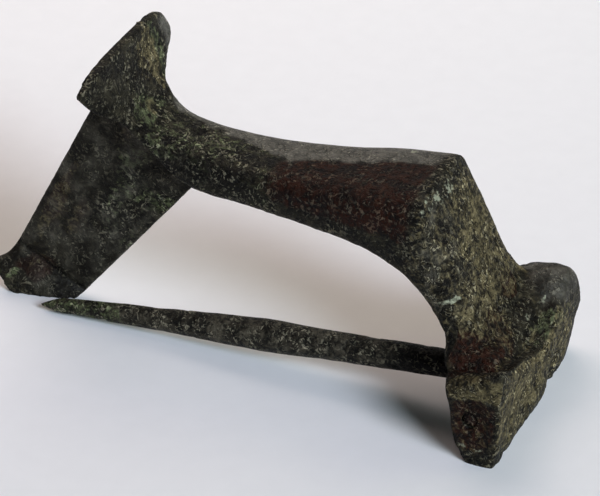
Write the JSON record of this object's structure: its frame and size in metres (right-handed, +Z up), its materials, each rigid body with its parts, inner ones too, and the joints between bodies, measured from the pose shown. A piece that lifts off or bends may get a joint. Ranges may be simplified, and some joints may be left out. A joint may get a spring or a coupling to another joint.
{
  "type": "roman fibula brooch",
  "caption": "Small cast bronze knee brooch: arched bow with a flared foot, flat catch plate, hinge head and a straight pin that swings on an iron bar.",
  "frame": {"origin": "on the floor, midway along the brooch and midway across its head", "axes": "+Z up, +X along the brooch from the catch plate and flared foot to the hinged head, +Y across it, away from the side on which the pin lies"},
  "size_m": [0.0364, 0.0144, 0.019],
  "materials": {
    "bronze_body": "cast bronze under a mottled grey-green and red-brown patina, pitted, with light crust and soil in the hollows",
    "iron_axis": "wrought iron bar, rusted brown",
    "bronze_pin": "bronze pin, rough grey-green corrosion with dark pits"
  },
  "bodies": {
    "brooch": {"brooch_body": "bronze_body", "hinge_axis": "iron_axis"},
    "pin": {"pin": "bronze_pin"}
  },
  "joints": [
    {"name": "pin_hinge", "type": "hinge", "parent": "brooch", "child": "pin", "pos_m": [0.0161, -0.0016, 0.00295], "axis": [0, -1, 0], "range_deg": [0, 70]}
  ]
}
